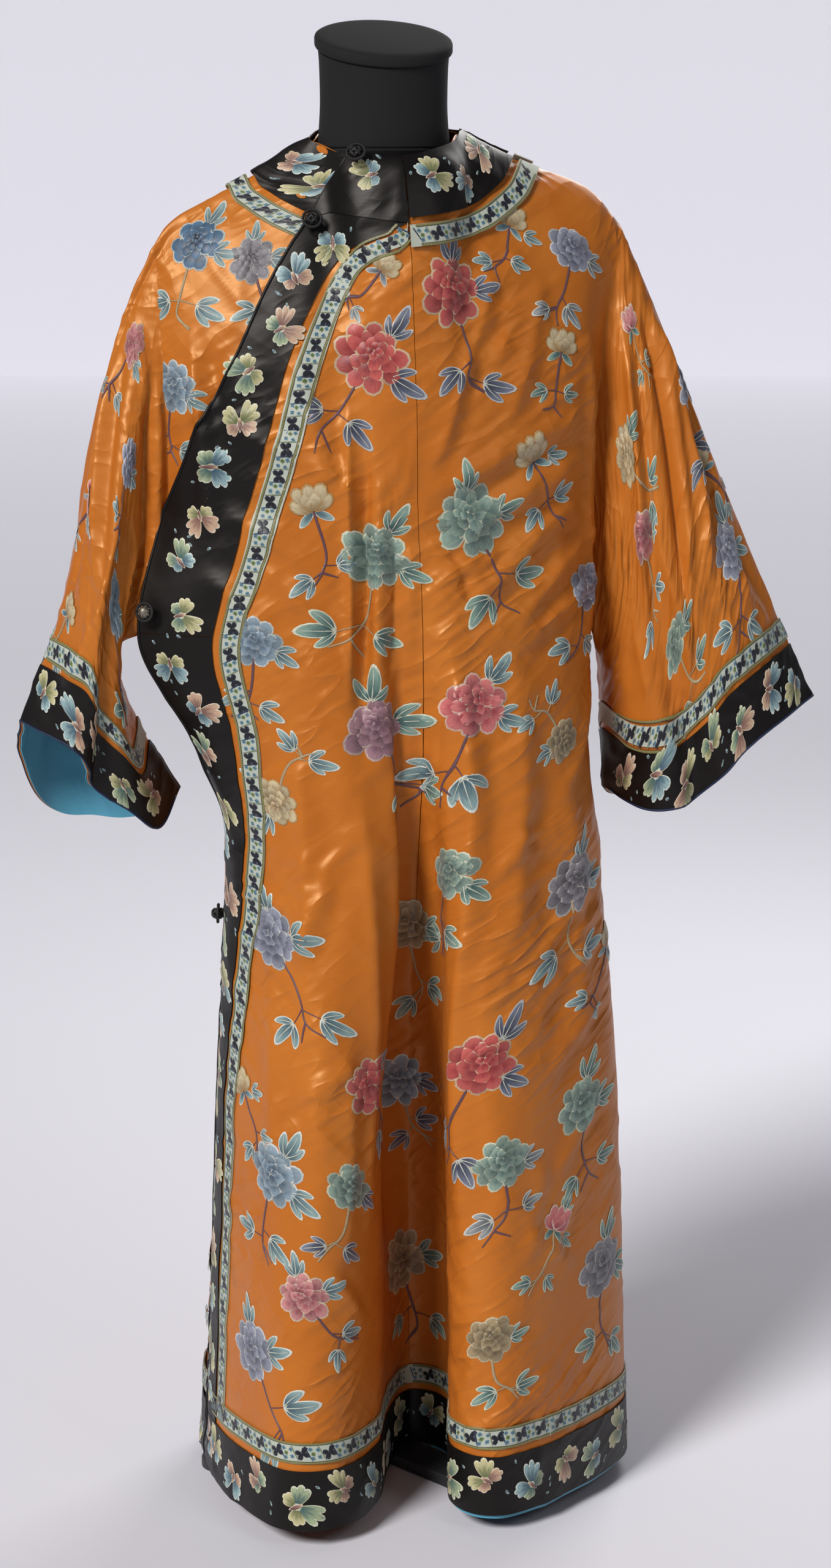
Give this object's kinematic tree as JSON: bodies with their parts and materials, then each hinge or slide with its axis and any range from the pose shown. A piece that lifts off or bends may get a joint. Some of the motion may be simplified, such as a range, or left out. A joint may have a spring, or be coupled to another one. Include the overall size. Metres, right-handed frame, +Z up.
{
  "type": "chenyi robe on limbless dress form",
  "caption": "Wide-sleeved silk robe with a slanting closing at the wearer's right, embroidered and bordered, standing on a limbless dress form with pole and foot.",
  "frame": {"origin": "on the floor under the centre of the stand's foot", "axes": "+Z up, +X towards the wearer's left, the robe's front towards -Y"},
  "size_m": [0.8072, 0.409, 1.4699],
  "materials": {
    "satin": "orange silk satin with embroidered flowers",
    "border": "black silk satin with embroidered butterflies",
    "ribbon": "woven silk ribbon, pale ground with dark pattern",
    "lining": "turquoise silk lining",
    "cord": "black silk cord",
    "button": "worn silvery metal",
    "form": "matte black jersey over a hard form",
    "stand": "dark grey powder coat"
  },
  "bodies": {
    "root": {"right_body": "satin", "left_body": "satin", "front_overlap": "satin", "sleeve_right": "satin", "cuff_band_right": "border", "cuff_ribbon_right": "ribbon", "cuff_lining_right": "lining", "sleeve_left": "satin", "cuff_band_left": "border", "cuff_ribbon_left": "ribbon", "cuff_lining_left": "lining", "side_band": "border", "side_ribbon": "ribbon", "hem_band_overlap": "border", "hem_ribbon_overlap": "ribbon", "hem_band_left": "border", "hem_ribbon_left": "ribbon", "hem_band_back_right": "border", "hem_ribbon_back_right": "ribbon", "hem_band_back_left": "border", "hem_ribbon_back_left": "ribbon", "hem_lining_left": "lining", "placket_band": "border", "placket_ribbon": "ribbon", "yoke_overlap": "border", "yoke_back": "border", "yoke_front": "border", "yoke_ribbon_back": "ribbon", "yoke_ribbon_front": "ribbon", "button_neck": "cord", "loop_neck": "cord", "button_collar": "cord", "loop_collar": "cord", "button_underarm": "button", "loop_underarm": "cord", "button_side": "cord", "loop_side": "cord", "form_torso": "form", "form_neck": "form", "form_cap": "form", "stand_pole": "stand", "stand_base": "stand", "stand_collar": "stand"}
  },
  "joints": []
}
